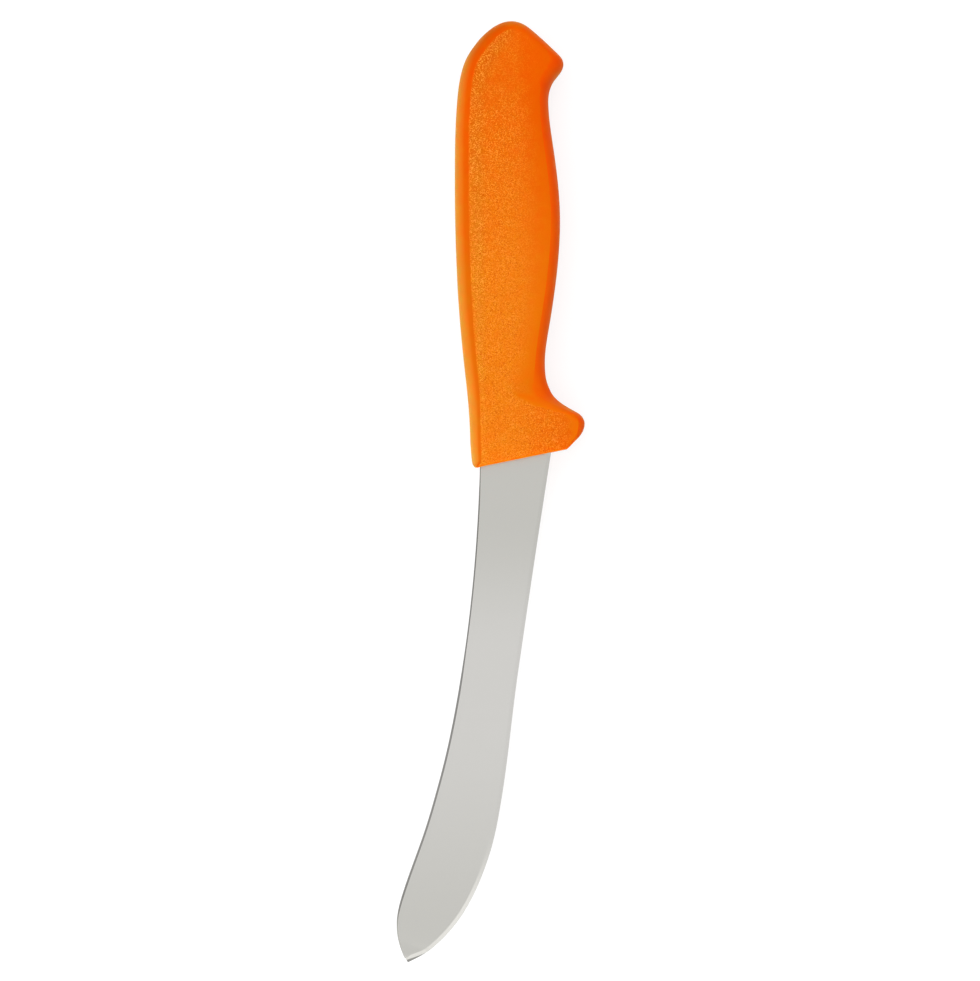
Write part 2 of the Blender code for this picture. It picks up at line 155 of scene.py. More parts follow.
# The side of the handle that the fingers close on
REAR_NOTCH_REACH = 0.0203
REAR_NOTCH_SETBACK = 0.0240
RISE_REACH = 0.00135
RISE_RUN = 0.0124
SWELL_REACH = 0.0238
SWELL_DEPTH = 0.0730
FALL_REACH = 0.00175
FALL_RUN = 0.0145
NOTCH_REACH = 0.0193
NOTCH_DEPTH = 0.0300
HOLLOW_REACH = 0.00085
HOLLOW_RUN = 0.0055
SLOPE_REACH = 0.0030
SLOPE_RUN = 0.0094

# How far in plan the handle's wall leans in, from its rim to its flat side
FACE_LEAN = 0.0008
FOOT_LEAN = 0.0026
GRIP_START_LEAN = 0.0030
THUMB_LEAN = 0.0039
PALM_LEAN = 0.0050
BOW_LEAN = 0.0055
SHOULDER_LEAN = 0.0049
BROW_LEAN = 0.0045
CROWN_LEAN = 0.0042
FACET_LEAN = 0.0037
BEAK_LEAN = 0.0066
THROAT_LEAN = 0.0054
REAR_NOTCH_LEAN = 0.0060
SWELL_LEAN = 0.0066
NOTCH_LEAN = 0.0069
HOLLOW_LEAN = 0.0100
SLOPE_LEAN = 0.0076
GUARD_BROW_LEAN = 0.0019
GUARD_TIP_LEAN = 0.0045
GUARD_CHIN_LEAN = 0.0020

# How far along its line the flat side's corner is from the rim's, where they part
FOOT_SLIDE = 0.0005
FACET_SLIDE = 0.0033
THROAT_SLIDE = 0.0035
NOTCH_SLIDE = 0.0010
HOLLOW_SLIDE = 0.0035
SLOPE_SLIDE = 0.0079
GUARD_BROW_SLIDE = 0.0032
FLAT_START_REACH = 0.0007
FLAT_CORNER_INSET = 0.00115

# How high the wall's rounding is where it is not the whole height
GUARD_TIP_ROUNDING = 0.0076
GUARD_CHIN_ROUNDING = 0.0038

# How full the wall's rounding is, and how long the soft crease round the flat side is: each
# length, and the most that it takes of the wall and of the flat side
WALL_FULLNESS = 2.2
CREASE_LENGTH = 0.0008
BEAK_CREASE = 0.0022
BELLY_CREASE = 0.0044
HOLLOW_CREASE = 0.0060
GUARD_CREASE = 0.0036
CREASE_WALL_SHARE = 0.6
CREASE_FLAT_SHARE = 0.5

# How far the flat side falls off to its sides and towards its tips, how much of that there is at
# each depth, and where its middle is
CROWN_FALL = 0.00022
CROWN_HALF_WIDTH = 0.0095
CROWN_MARKS = ((0.0, 0.0), (0.022, 0.0), (0.040, 1.0), (0.100, 1.0), (0.118, 0.0), (0.14, 0.0))
END_FALL = 0.0007
END_FALL_START = 0.0120
END_FALL_RUN = 0.0140
END_MARKS = ((0.0, 1.0), (0.016, 1.0), (0.030, 0.0), (0.100, 0.0), (0.114, 1.0), (0.14, 1.0))
FLAT_MIDDLE_REACH = 0.0082
FLAT_MIDDLE_START = 0.0100
FLAT_MIDDLE_END = 0.1180

# How finely the surfaces are divided, how many stations of the blade the slot takes in, and how
# sharp an edge has to be to look crisp
CURVE_STEP = 0.0009
TURN_STEP = 2.5
WALL_RINGS = 18
CREASE_RINGS = 8
CREASE_SEARCH_STEPS = 20
FLAT_SHARES = (0.06, 0.16, 0.32, 0.55, 0.8)
SPACING_FINENESS = 4
BLADE_STATIONS = 240
SLOT_STATIONS = 4
TANG_END_STEP = 10
HOLE_SIDES = 64
BLADE_CRISP_ANGLE = 4
HANDLE_CRISP_ANGLE = 20

# Where the grain shows in plan, from the datum: each span runs from none to all of what it
# names; the first also bounds the golden highlight painted along the back crease. Then how much
# grain shows towards the fingers and towards the butt.
CREASE_GRAIN_AND_HIGHLIGHT_SPAN = (0.0030, -0.0010)
BUTT_BEND_SPAN = (0.1060, 0.1270)
BUTT_BEND_SHIFT = 0.0084
GRIP_GRAIN_SPAN = (0.0190, 0.0075)
GUARD_GRAIN_SPAN = (0.0225, 0.0165)
GUARD_GRAIN_SHIFT = 0.0125
BUTT_GRAIN_SPAN = (0.1020, 0.1150)
FADED_GRAIN = 0.1
BUTT_GRAIN = 0.55

# How fine the grain is, which of its pebbles are dark or pale, and how clearly they show. The
# pale ones are partly the grain's own tone and partly painted glints, and show less away from
# the crease than along it, where more glint is painted.
PEBBLE_SCALE = 5400
DARK_PEBBLES = (0.38, 0.12)
DARK_PEBBLE_SHARE = 0.85
GLINT_PEBBLES = (0.62, 0.90)
GLINT_PEBBLE_SHARE = 0.75
CREASE_GLINT_GAIN = (0.9, 1.3)

# The soft clouds in which the grain is fainter, and its relief
CLOUD_SCALE = 420
CLOUD_DETAIL = 1.0
CLOUD_EDGES = (0.35, 0.60)
CLOUDED_GRAIN = 0.65
GRAIN_RELIEF = 0.5
GRAIN_HEIGHT = 0.0001

# The tone of the flat side, from deep at 0 to bright at 1, and what is added to it: a painted
# highlight along the crease, and painted shade towards the butt and towards the fingers
CLOUD_TONE_EDGES = (0.3, 0.7)
CLOUD_TONES = (0.48, 0.58)
CREASE_HIGHLIGHT_TONE = 0.04
BUTT_SHADE_SPAN = (0.0425, 0.1225)
BUTT_SHADE_TONE = -0.42
FINGER_SHADE_SPAN = (0.010, 0.030)
FINGER_SHADE_TONE = -0.50

# The colours of the flat side, deep and bright, then the same along the crease, golden with a
# painted highlight, and of its pebbles, the pale one with painted glints, all in linear light
FLAT_COLOURS = ((0.81, 0.128, 0.000), (0.850, 0.325, 0.012))
CREASE_HIGHLIGHT_COLOURS = ((0.735, 0.118, 0.000), (0.735, 0.350, 0.020))
DARK_PEBBLE_COLOUR = (0.67, 0.110, 0.000)
GLINT_PEBBLE_COLOUR = (1.0, 0.43, 0.050)

# The colours of the wall, towards the guard and towards the butt, the darker butt end being
# painted shade: the wall as it is, painted shade where it faces the fingers, painted shade on
# its back, and a pale painted highlight on the rim of its back. Then the colour of the front
# face, and the span over which the painted shade towards the butt comes in.
WALL_COLOURS = ((0.83, 0.200, 0.002), (0.82, 0.125, 0.000))
FINGER_SHADE_COLOURS = ((0.97, 0.080, 0.000), (0.96, 0.064, 0.000))
BACK_SHADE_COLOURS = ((0.675, 0.142, 0.002), (0.78, 0.106, 0.000))
RIM_HIGHLIGHT_COLOURS = ((0.78, 0.250, 0.020), (0.80, 0.215, 0.014))
FRONT_COLOUR = (0.84, 0.150, 0.000)
REAR_SHADE_SPAN = (0.0525, 0.1175)

# How far a surface faces up or down, or to one side, where a colour and the painted light and
# shade start and where they are whole. In the hollow behind the guard, what faces the butt counts
# in part as facing the fingers, so that the painted shade reaches into it.
FLAT_FACING = (0.93, 0.998)
FINGER_SHADE_FACING = (0.28, 0.95)
BACK_SHADE_FACING = (0.05, -0.35)
RIM_HIGHLIGHT_FACING = (-0.62, -1.0)
FRONT_FACING = (-0.5, -0.95)
HOLLOW_SHADE_FACING = 0.35

# The finish of the plastic: how rough it is, smooth and grained, and what is the same all over
PLASTIC_ROUGHNESS = (0.50, 0.62)
PLASTIC_FINISH = {
    "Subsurface Weight": 1.0,
    "Subsurface Radius": (1.0, 0.1, 0.03),
    "Subsurface Scale": 0.0035,
    "Sheen Weight": 0.32,
    "Sheen Roughness": 0.35,
    "Sheen Tint": (1.0, 0.90, 0.28, 1.0),
    "IOR": 1.46,
    "Specular IOR Level": 0.01,
    "Specular Tint": (1.0, 0.5, 0.03, 1.0),
}

# The steel: its colours in linear light, with painted shade and painted light, where the painted
# light brightens it away from the handle and from the tip, how rough it is, and its grinding lines
SHADED_STEEL_COLOURS = ((0.592, 0.584, 0.548), (0.608, 0.600, 0.564))
LIT_STEEL_COLOURS = ((0.680, 0.669, 0.643), (0.700, 0.689, 0.663))
HANDLE_BRIGHTENING = (-0.015, -0.055)
TIP_BRIGHTENING = (-BLADE_LENGTH, -0.075)
STEEL_ROUGHNESS = (0.17, 0.23)
LINE_SCALE = (60, 5000, 60)
LINE_DETAIL = 3.0
LINE_RELIEF = 0.02
LINE_HEIGHT = 0.00002

# The floor, and the light of the studio: low down, overhead, and how it leans towards X and Y
FLOOR_SIZE = 6.0
FLOOR_GREY = 0.27
FLOOR_GLOW = 0.80
HORIZON_LEVEL = 0.62
HORIZON_LEAN = (0.46, 0.35, 0.0)
CEILING_LEVEL = 0.92
CEILING_LEAN = (-0.12, 0.10, 0.0)
CEILING_RISE = (0.1, 0.85)

# The camera: where it is, its lens and sensor in millimetres, and how near and far it sees
CAMERA_PLACE = (-0.00018, 0.00051, 1.104)
CAMERA_LENS = 135
CAMERA_SENSOR = 36
CAMERA_RANGE = (0.01, 50)

# A knot of a line in plan: its place, the line's heading there from X, and how far the line
# turns at it
Knot = namedtuple("Knot", "x y heading turn", defaults=(0.0,))

# A station of the handle's wall: its knots on the rim and on the flat side, how high its
# rounding is, the angle at which that meets the flat side, and how long the crease there is
Station = namedtuple("Station", "rim flat height crest crease", defaults=(CREASE_LENGTH,))

# A lamp: where it is, where it points, its width and height, its power, and whether it is
# reflected. The large one isn't, because it would turn the blade white.
Lamp = namedtuple("Lamp", "name place target size power reflected", defaults=(True,))
LAMPS = (
    Lamp("key", (-0.65, 0.10, 1.35), (0, 0, 0), (1.3, 1.3), 6, reflected=False),
    Lamp("low", (-0.40, -0.58, 0.13), (0, 0.03, 0.01), (0.48, 0.18), 3.9),
    Lamp("edge", (0.29, -0.52, 1.05), (0, -0.1, 0), (0.35, 0.35), 0.22),
)


def direction(degrees):
    """A unit step in plan at a heading."""
    return Vector((math.cos(math.radians(degrees)), math.sin(math.radians(degrees))))


def ease(share):
    """0 to 1 with no slope at either end."""
    return share * share * (3 - 2 * share)


def place_of(knot):
    """Where a knot is in plan."""
    return Vector((knot.x, knot.y))


def steps_between(start, end):
    """How many pieces a stretch needs for its length and for its turn."""
    length = math.dist((start.x, start.y), (end.x, end.y))
    turn = abs((end.heading - start.heading - start.turn + 180) % 360 - 180)
    return max(1, math.ceil(length / CURVE_STEP), math.ceil(turn / TURN_STEP))


def stretch(start, end, steps):
    """Points of the curve from one knot up to the next, without the last; it is very nearly
    an arc wherever the two knots lie on one."""
    leave = start.heading + start.turn
    turn = abs((end.heading - leave + 180) % 360 - 180)
    reach = math.dist((start.x, start.y), (end.x, end.y)) / (3 * math.cos(math.radians(turn / 4)) ** 2)
    first = place_of(start)
    last = place_of(end)
    out = first + direction(leave) * reach
    back = last - direction(end.heading) * reach
    return interpolate_bezier(first, out, back, last, steps + 1)[:-1]


def spaced(knots, count):
    """The given number of points at equal distances along a curve through the knots."""
    fine = []
    for start, end in zip(knots, knots[1:]):
        fine += stretch(start, end, SPACING_FINENESS * steps_between(start, end))
    fine.append(place_of(knots[-1]))
    along = [0.0]
    for first, second in zip(fine, fine[1:]):
        along.append(along[-1] + (second - first).length)
    points = []
    piece = 0
    for index in range(count):
        target = along[-1] * index / (count - 1)
        while piece < len(fine) - 2 and along[piece + 1] < target:
            piece += 1
        share = (target - along[piece]) / (along[piece + 1] - along[piece])
        points.append(fine[piece].lerp(fine[piece + 1], share))
    return points


def front_line(reach, behind=0.0):
    """The depth of the handle's raked front face at a reach, or of a line behind it."""
    rake = math.radians(FRONT_RAKE)
    return reach * math.tan(rake) + behind / math.cos(rake)


def inset(knot, width, slide=0.0, heading=None):
    """A knot moved into the handle, square to its line, and then slid along its line."""
    moved = place_of(knot) + direction(knot.heading - 90) * width
    moved += direction(knot.heading) * slide
    return Knot(moved.x, moved.y, knot.heading if heading is None else heading)


def short_of(knot, length):
    """The place a length short of a knot, on the straight line that leads up to it."""
    return place_of(knot) - direction(knot.heading) * length


def tang_sides():
    """The reach of the tang's back and of its front, and the depth of its end."""
    return (TANG_BACK_WALL - FRONT_BACK_WALL, NOTCH_REACH - TANG_FRONT_WALL,
            HANDLE_LENGTH - TANG_END_WALL)


def full_height():
    """How high the wall's rounding is where it starts at the parting land."""
    return HANDLE_THICKNESS / 2 - PARTING_LAND


def back_stations():
    """The back of the handle, from the front corner to the start of the butt."""
    full = full_height()
    corner = Knot(-FRONT_CORNER_BACK, front_line(-FRONT_CORNER_BACK), 180 + FRONT_RAKE)
    flat_corner = Knot(FLAT_START_REACH, front_line(FLAT_START_REACH, FACE_LEAN), 180 + FRONT_RAKE)
    foot = Knot(FOOT_INSET - FRONT_BACK_WALL, FOOT_DEPTH, 96.0)
    grip_start = Knot(-FRONT_BACK_WALL, GRIP_START_DEPTH, 91.5)
    thumb = Knot(-THUMB_BACK, THUMB_DEPTH, 96.6)
    palm = Knot(-PALM_BACK, PALM_DEPTH, 92.9)
    bow = Knot(-BOW_BACK, BOW_DEPTH, 90.0)
    rear = Knot(-REAR_BACK, HANDLE_LENGTH - REAR_SETBACK, 84.5)
    return [
        Station(corner, flat_corner, FACE_LEAN, 90),
        Station(foot, inset(foot, FOOT_LEAN, -FOOT_SLIDE, 91.0), full, 72),
        Station(grip_start, inset(grip_start, GRIP_START_LEAN), full, 72),
        Station(thumb, inset(thumb, THUMB_LEAN), full, 76),
        Station(palm, inset(palm, PALM_LEAN), full, 86),
        Station(bow, inset(bow, BOW_LEAN), full, 90),
        Station(rear, inset(rear, PALM_LEAN), full, 90),
    ]


def butt_stations():
    """The butt: over its crown, down the slanted facet and round the beak."""
    full = full_height()
    end = HANDLE_LENGTH
    beak_depth = end - BEAK_SETBACK
    shoulder = Knot(-SHOULDER_BACK, end - SHOULDER_SETBACK, 70.0)
    climb = Knot(-CLIMB_BACK, end - CLIMB_SETBACK, 52.0)
    brow = Knot(BROW_REACH, end - BROW_SETBACK, 36.0)
    crown = Knot(CROWN_REACH, end, 0.0)
    facet_top = Knot(CROWN_REACH + FACET_RUN, end - FACET_DROP, -38.5)
    facet_end = Knot(BEAK_REACH - BEAK_FACET_INSET, beak_depth + BEAK_FACET_RISE, -43.5)
    beak = Knot(BEAK_REACH, beak_depth, -88.0)
    throat = Knot(BEAK_REACH - THROAT_INSET, beak_depth - THROAT_DROP, -127.0)
    return [
        Station(shoulder, inset(shoulder, SHOULDER_LEAN), full, 90),
        Station(climb, inset(climb, SHOULDER_LEAN), full, 90),
        Station(brow, inset(brow, BROW_LEAN), full, 90),
        Station(crown, inset(crown, CROWN_LEAN), full, 90),
        Station(facet_top, inset(facet_top, FACET_LEAN), full, 88),
        Station(facet_end, inset(facet_end, FACET_LEAN, -FACET_SLIDE, -52.0), full, 88, BEAK_CREASE),
        Station(beak, inset(beak, BEAK_LEAN, 0.0, -98.0), full, 90, BEAK_CREASE),
        Station(throat, inset(throat, THROAT_LEAN, THROAT_SLIDE, -112.0), full, 90, BEAK_CREASE),
    ]


def belly_stations():
    """The side that the fingers close on, from the rear notch to the finger notch."""
    full = full_height()
    notch_depth = HANDLE_LENGTH - REAR_NOTCH_SETBACK
    rear_notch = Knot(REAR_NOTCH_REACH, notch_depth, -89.0)
    rise = Knot(REAR_NOTCH_REACH + RISE_REACH, notch_depth - RISE_RUN, -81.5)
    swell = Knot(SWELL_REACH, SWELL_DEPTH, -90.0)
    fall = Knot(NOTCH_REACH + FALL_REACH, NOTCH_DEPTH + FALL_RUN, -99.0)
    notch = Knot(NOTCH_REACH, NOTCH_DEPTH, -88.5)
    return [
        Station(rear_notch, inset(rear_notch, REAR_NOTCH_LEAN), full, 90, BELLY_CREASE),
        Station(rise, inset(rise, SWELL_LEAN), full, 90, BELLY_CREASE),
        Station(swell, inset(swell, SWELL_LEAN), full, 90, BELLY_CREASE),
        Station(fall, inset(fall, SWELL_LEAN), full, 90, BELLY_CREASE),
        Station(notch, inset(notch, NOTCH_LEAN, -NOTCH_SLIDE, -103.0), full, 88, BELLY_CREASE),
    ]


def guard_stations():
    """The finger guard: its hollow, its ridge, its rounded tip and the corner in front."""
    full = full_height()
    corner_reach = HEEL_WIDTH + FRONT_GUARD_WALL
    flat_reach = corner_reach - FLAT_CORNER_INSET
    tip_reach = corner_reach + GUARD_OVERHANG
    corner_turn = FRONT_RAKE - 180 - GUARD_CORNER_HEADING
    hollow = Knot(NOTCH_REACH + HOLLOW_REACH, NOTCH_DEPTH - HOLLOW_RUN, -69.0)
    slope = Knot(NOTCH_REACH + SLOPE_REACH, NOTCH_DEPTH - SLOPE_RUN, -46.0)
    brow = Knot(tip_reach - GUARD_BROW_INSET, GUARD_DEPTH + GUARD_BROW_RISE, -29.0)
    tip = Knot(tip_reach, GUARD_DEPTH, -93.0)
    chin = Knot(tip_reach - GUARD_CHIN_INSET, GUARD_DEPTH - GUARD_CHIN_RISE, -136.0)
    corner = Knot(corner_reach, front_line(corner_reach), GUARD_CORNER_HEADING, corner_turn)
    flat_corner = Knot(flat_reach, front_line(flat_reach, FACE_LEAN), GUARD_CORNER_HEADING, corner_turn)
    return [
        Station(hollow, inset(hollow, HOLLOW_LEAN, -HOLLOW_SLIDE, -112.0), full, 80, HOLLOW_CREASE),
        Station(slope, inset(slope, SLOPE_LEAN, -SLOPE_SLIDE, -24.0), full, 70, HOLLOW_CREASE),
        Station(brow, inset(brow, GUARD_BROW_LEAN, -GUARD_BROW_SLIDE, -20.0), full, 72, GUARD_CREASE),
        Station(tip, inset(tip, GUARD_TIP_LEAN, 0.0, -96.0), GUARD_TIP_ROUNDING, 88, GUARD_CREASE),
        Station(chin, inset(chin, GUARD_CHIN_LEAN), GUARD_CHIN_ROUNDING, 88, GUARD_CREASE),
        Station(corner, flat_corner, FACE_LEAN, 90),
    ]


def flat_middle(point):
    """Where the line from a point of the flat side's outline ends, on the flat's middle."""
    return Vector((FLAT_MIDDLE_REACH, min(max(point.y, FLAT_MIDDLE_START), FLAT_MIDDLE_END)))


def flat_height(x, y):
    """How high the flat side is: it falls off slightly towards its sides along the grip, and
    towards the tips of the guard and of the beak."""
    depth = max(y, 0.0)
    across = abs(x - FLAT_MIDDLE_REACH) / CROWN_HALF_WIDTH
    beyond = max(x - END_FALL_START, 0.0) / END_FALL_RUN
    fall = CROWN_FALL * blended(CROWN_MARKS, depth) * across ** 4
    fall += END_FALL * blended(END_MARKS, depth) * beyond ** 2
    return HANDLE_THICKNESS / 2 - fall


def wall_point(rim, flat, height, crest, angle):
    """A point of the rounding, from its foot at angle 0 to the flat side at the crest."""
    power = 2 / WALL_FULLNESS
    lean = (1 - math.cos(angle) ** power) / (1 - math.cos(crest) ** power)
    lift = (math.sin(angle) / math.sin(crest)) ** power
    place = rim.lerp(flat, lean)
    foot = HANDLE_THICKNESS / 2 - height
    return Vector((place.x, place.y, foot + (flat_height(flat.x, flat.y) - foot) * lift))


def wall_column(rim, flat, height, crest, crease):
    """The half section over one point of the rim: a hair groove on the parting plane, a
    straight land, the rounding, a soft crease and the flat side up to its middle."""
    outward = (rim - flat).normalized() * GROOVE_DEPTH
    column = [Vector((rim.x - outward.x, rim.y - outward.y, 0.0)),
              Vector((rim.x, rim.y, GROOVE_WIDTH / 2))]
    top = Vector((flat.x, flat.y, flat_height(flat.x, flat.y)))
    middle = flat_middle(flat)
    soft = min(crease, CREASE_WALL_SHARE * (flat - rim).length)
    low = 0.0
    high = crest
    for _ in range(CREASE_SEARCH_STEPS):
        angle = (low + high) / 2
        if (wall_point(rim, flat, height, crest, angle) - top).length > soft:
            low = angle
        else:
            high = angle
    for ring in range(WALL_RINGS + 1):
        column.append(wall_point(rim, flat, height, crest, low * ring / WALL_RINGS))
    end = column[-1]
    inner = flat.lerp(middle, min(soft / (middle - flat).length, CREASE_FLAT_SHARE))
    after = Vector((inner.x, inner.y, flat_height(inner.x, inner.y)))
    for ring in range(1, CREASE_RINGS + 1):
        share = ring / CREASE_RINGS
        column.append(end.lerp(top, share).lerp(top.lerp(after, share), share))
    for share in FLAT_SHARES:
        place = inner.lerp(middle, share)
        column.append(Vector((place.x, place.y, flat_height(place.x, place.y))))
    return column


def wall_columns():
    """Every column of the handle's half wall, clockwise."""
    stations = back_stations() + butt_stations() + belly_stations() + guard_stations()
    columns = []
    for start, end in zip(stations, stations[1:] + stations[:1]):
        steps = max(steps_between(start.rim, end.rim), steps_between(start.flat, end.flat))
        rims = stretch(start.rim, end.rim, steps)
        flats = stretch(start.flat, end.flat, steps)
        for step in range(steps):
            share = ease(step / steps)
            height = start.height + (end.height - start.height) * share
            crest = math.radians(start.crest + (end.crest - start.crest) * share)
            crease = start.crease + (end.crease - start.crease) * share
            columns.append(wall_column(rims[step], flats[step], height, crest, crease))
    return columns


def blade_knots():
    """The back of the blade and its edge, from the handle to the tip."""
    tip = -BLADE_LENGTH
    tip_end = Vector((-TIP_SWEEP, tip)) - direction(TIP_HEADING) * TIP_RETURN
    back = [
        Knot(0.0, 0.0, -91.8),
        Knot(-WAIST_SWEEP, -WAIST_DEPTH, -98.7),
        Knot(-BEND_SWEEP, tip + BEND_SETBACK, -105.4),
        Knot(-BELLY_SWEEP, tip + BELLY_SETBACK, -108.6),
        Knot(-POINT_SWEEP, tip + POINT_SETBACK, -107.8),
        Knot(-HOOK_SWEEP, tip + HOOK_SETBACK, -89.0),
        Knot(tip_end.x, tip_end.y, TIP_HEADING),
    ]
    edge = [Knot(HEEL_WIDTH, front_line(HEEL_WIDTH), -98.9)]
    widths = (WAIST_WIDTH, BEND_WIDTH, BELLY_WIDTH, POINT_WIDTH)
    headings = (-98.2, -99.4, -107.6, -121.5)
    for knot, width, heading in zip(back[1:], widths, headings):
        point = place_of(knot) + direction(knot.heading + 90) * width
        edge.append(Knot(point.x, point.y, heading))
    edge.append(Knot(LIP_REACH - TIP_SWEEP, tip + LIP_SETBACK, -140.5))
    edge.append(Knot(TIP_WIDTH - TIP_SWEEP, tip, -154.0))
    return back, edge


def square_in(points, index, side):
    """The direction square to a line of points, towards the middle of the blade."""
    first = points[max(index - 1, 0)]
    last = points[min(index + 1, len(points) - 1)]
    along = (last - first).normalized()
    return Vector((-along.y, along.x)) * side


def blended(marks, share):
    """The value at a share of the way, eased from mark to mark."""
    for (start, first), (end, second) in zip(marks, marks[1:]):
        if share <= end:
            return first + (second - first) * ease((share - start) / (end - start))
    return marks[-1][1]


def blank_section(back, edge, back_in, edge_in, grow):
    """The upper half of a section of the tang: the full blank with broken corners."""
    half = BACK_THICKNESS / 2 + grow
    chamfer = BACK_CHAMFER
    rails = [
        (back - back_in * grow, half - chamfer),
        (back + back_in * (chamfer / 2 - grow), half - chamfer / 2),
        (back + back_in * (chamfer - grow), half),
        (edge + edge_in * (chamfer - grow), half),
        (edge + edge_in * (chamfer / 2 - grow), half - chamfer / 2),
        (edge - edge_in * grow, half - chamfer),
    ]
    return [Vector((point.x, point.y, height)) for point, height in rails]


def ground_section(back, edge, back_in, edge_in, share, grow):
    """The upper half of a section of the blade at a share of its length: the eased corner of
    its back, the face that tapers to the shoulder of the cutting bevel, the bevel and its lip."""
    width = (edge - back).length
    half = (BACK_THICKNESS + (TIP_THICKNESS - BACK_THICKNESS) * share) / 2
    facet = min(blended(EASE_WIDTHS, share), EASE_LARGEST_SHARE * width)
    roll = facet * ROLL_SHARE
    shallow = half - roll * ROLL_SLOPE
    lip = LIP_LEAST + (LIP_WIDTH - LIP_LEAST) * max(share - LIP_START, 0.0) / (1 - LIP_START)
    bevel = min(BEVEL_WIDTH, BEVEL_LARGEST_SHARE * width)
    lip_top = EDGE_THICKNESS / 2 + lip * LIP_SLOPE
    rails = [
        (back - back_in * grow, shallow - facet * blended(EASE_SLOPES, share)),
        (back + back_in * (facet - grow), shallow),
        (back + back_in * (facet + roll - grow), half),
        (edge + edge_in * (lip + bevel - grow), lip_top + bevel * BEVEL_SLOPE),
        (edge + edge_in * (lip - grow), lip_top),
        (edge - edge_in * grow, EDGE_THICKNESS / 2),
    ]
    return [Vector((point.x, point.y, height + grow)) for point, height in rails]


def tang_sections(back_knot, edge_knot, grow):
    """The hidden part of the blank, from the tang's end to just behind the front face."""
    tang_back, tang_front, tang_end = tang_sides()
    right = Vector((1, 0))
    left = Vector((-1, 0))
    sections = []
    for degrees in range(0, 91, TANG_END_STEP):
        turned = math.radians(degrees)
        depth = tang_end + grow - TANG_END_RADIUS * (1 - math.cos(turned))
        side = TANG_END_RADIUS * (1 - math.sin(turned))
        sections.append(blank_section(Vector((tang_back + side, depth)),
                                      Vector((tang_front - side, depth)), right, left, grow))
    heel_back = short_of(back_knot, HEEL_DEPTH)
    heel_edge = short_of(edge_knot, HEEL_DEPTH)
    start_back = Vector((tang_back, heel_back.y + SHOULDER_RUN))
    start_front = Vector((tang_front, heel_edge.y + SHOULDER_RUN))
    sections.append(blank_section(start_back, start_front, right, left, grow))
    sections.append(blank_section(heel_back, heel_edge, right, left, grow))
    plunge_back = short_of(back_knot, PLUNGE_DEPTH)
    plunge_edge = short_of(edge_knot, PLUNGE_DEPTH)
    sections.append(ground_section(plunge_back, plunge_edge, right, left, 0.0, grow))
    return sections


def blade_sections(grow=0.0, count=BLADE_STATIONS):
    """Half sections from the tang's end to the tip, or to the given number of stations."""
    back_knots, edge_knots = blade_knots()
    backs = spaced(back_knots, BLADE_STATIONS)
    edges = spaced(edge_knots, BLADE_STATIONS)
    sections = tang_sections(back_knots[0], edge_knots[0], grow)
    for index in range(count):
        sections.append(ground_section(backs[index], edges[index], square_in(backs, index, 1),
                                       square_in(edges, index, -1),
                                       index / (BLADE_STATIONS - 1), grow))
    return sections


def mirrored(half):
    """The points of a half section on the other side of the middle plane."""
    return [Vector((point.x, point.y, -point.z)) for point in half]


def add_object(name, data):
    """A new object of the scene."""
    thing = bpy.data.objects.new(name, data)
    bpy.context.scene.collection.objects.link(thing)
    return thing


def object_from(builder, name, datum):
    """An object whose mesh, drawn from the datum, lies in the frame."""
    bmesh.ops.translate(builder, verts=builder.verts, vec=datum)
    bmesh.ops.recalc_face_normals(builder, faces=builder.faces)
    mesh = bpy.data.meshes.new(name)
    builder.to_mesh(mesh)
    builder.free()
    return add_object(name, mesh)


def handle_mesh(name, datum):
    """Full columns, from the middle of the under side round the rim to the middle above."""
    builder = bmesh.new()
    loops = []
    for half in wall_columns():
        whole = list(reversed(mirrored(half[1:]))) + half
        loops.append([builder.verts.new(point) for point in whole])
    for first, second in zip(loops, loops[1:] + loops[:1]):
        for lower in range(len(first) - 1):
            builder.faces.new((first[lower], first[lower + 1], second[lower + 1], second[lower]))
    builder.faces.new([loop[-1] for loop in loops])
    builder.faces.new([loop[0] for loop in reversed(loops)])
    return object_from(builder, name, datum)


def blank_mesh(name, sections, datum):
    """A closed bar of whole sections."""
    builder = bmesh.new()
    loops = []
    for half in sections:
        whole = half + list(reversed(mirrored(half)))
        loops.append([builder.verts.new(point) for point in whole])
    for first, second in zip(loops, loops[1:]):
        for rail in range(len(first)):
            after = (rail + 1) % len(first)
            builder.faces.new((first[rail], second[rail], second[after], first[after]))
    builder.faces.new(loops[0])
    builder.faces.new(list(reversed(loops[-1])))
    return object_from(builder, name, datum)


def post_mesh(name, place, diameter, datum):
    """A round post that goes right through the blank."""
    builder = bmesh.new()
    bmesh.ops.create_cone(builder, cap_ends=True, segments=HOLE_SIDES, radius1=diameter / 2,
                          radius2=diameter / 2, depth=CUTTER_HEIGHT)
    bmesh.ops.translate(builder, verts=builder.verts, vec=place)
    return object_from(builder, name, datum)


def cut(thing, cutter):
    """Take the cutter out of a piece for good, and delete the cutter."""
    boolean = thing.modifiers.new("cut", "BOOLEAN")
    boolean.operation = "DIFFERENCE"
    boolean.solver = "EXACT"
    boolean.object = cutter
    graph = bpy.context.evaluated_depsgraph_get()
    mesh = bpy.data.meshes.new_from_object(thing.evaluated_get(graph))
    thing.modifiers.clear()
    thing.data = mesh
    bpy.data.objects.remove(cutter)


def finish_surface(thing, node, crisp_angle):
    """Hold a piece inside the box of the solid it stands for, and shade it smooth up to an
    angle."""
    low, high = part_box(node)
    mesh = thing.data
    for vertex in mesh.vertices:
        vertex.co = [min(max(value, least), most) for value, least, most in zip(vertex.co, low, high)]
    mesh.shade_smooth()
    mesh.set_sharp_from_angle(angle=math.radians(crisp_angle))


def hole_depths():
    """How far behind the datum the tang's holes are."""
    end = tang_sides()[2] - LAST_HOLE_MARGIN
    pitch = (end - FIRST_HOLE_DEPTH) / max(TANG_HOLE_COUNT - 1, 1)
    return [FIRST_HOLE_DEPTH + pitch * index for index in range(TANG_HOLE_COUNT)]


